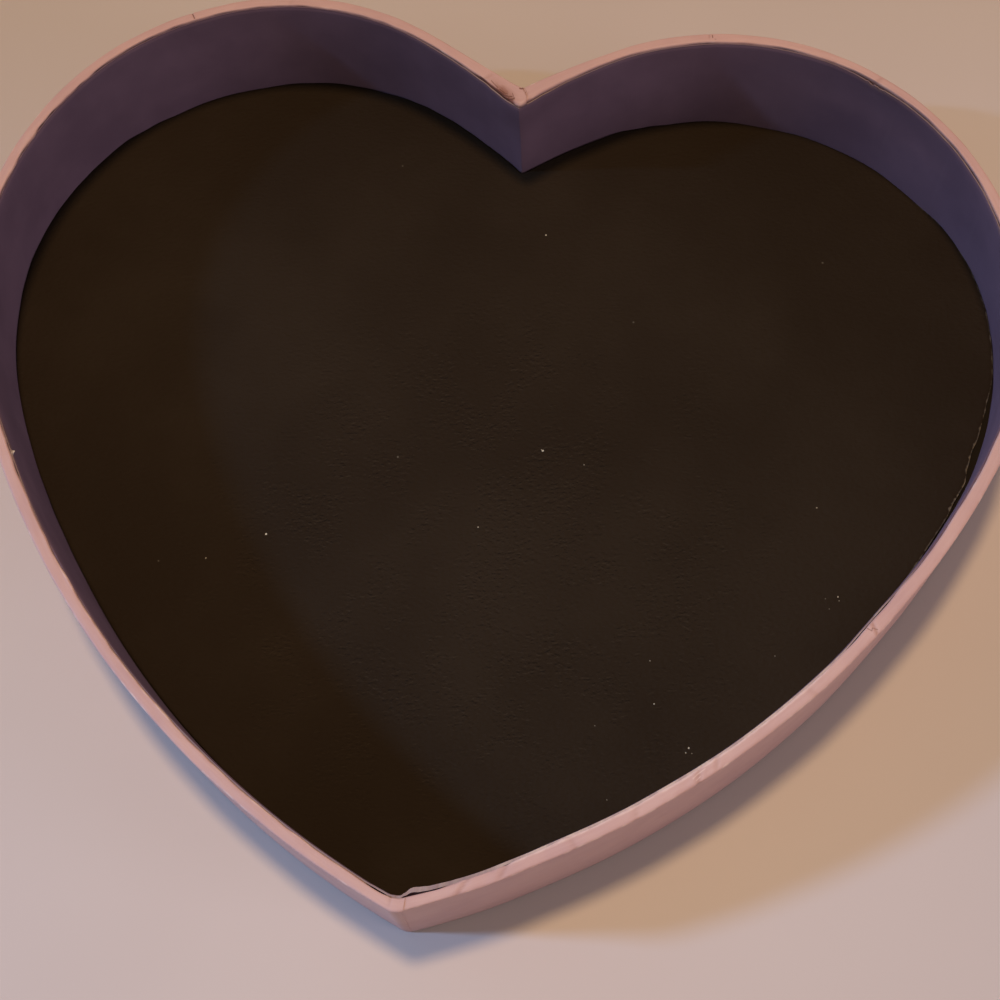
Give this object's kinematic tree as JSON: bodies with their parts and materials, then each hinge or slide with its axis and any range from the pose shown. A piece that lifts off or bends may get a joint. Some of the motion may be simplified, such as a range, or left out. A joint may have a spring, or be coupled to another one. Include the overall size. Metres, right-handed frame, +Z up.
{
  "type": "heart-shaped tray",
  "caption": "Shallow heart-shaped tray of paper-covered board, with a card liner inside its wall and a dark panel on its floor.",
  "frame": {"origin": "middle of the tray's box, on the surface it stands on", "axes": "+Z up, +Y towards the cleft between the lobes, -Y towards the pointed tip, +X to the right seen from the tip"},
  "size_m": [0.2196, 0.1935, 0.0305],
  "materials": {
    "pink_paper": "smooth matt paper, dusty pink, with worn and wrinkled folds over the rim",
    "grey_board": "raw grey board",
    "stay_paper": "brown gummed paper",
    "mauve_card": "smooth matt card, mauve, with a pale cut edge",
    "brown_board": "brown board with a worn cut edge",
    "dark_facing": "black-brown paper with a fine leather grain, low sheen"
  },
  "bodies": {
    "root": {"outer_wrap_left": "pink_paper", "outer_wrap_right": "pink_paper", "wall_board_left": "grey_board", "wall_board_right": "grey_board", "cleft_stay": "stay_paper", "tip_stay": "stay_paper", "base_board": "grey_board", "base_cover": "pink_paper", "liner_left": "mauve_card", "liner_right": "mauve_card", "floor_board": "brown_board", "floor_facing": "dark_facing"}
  },
  "joints": []
}
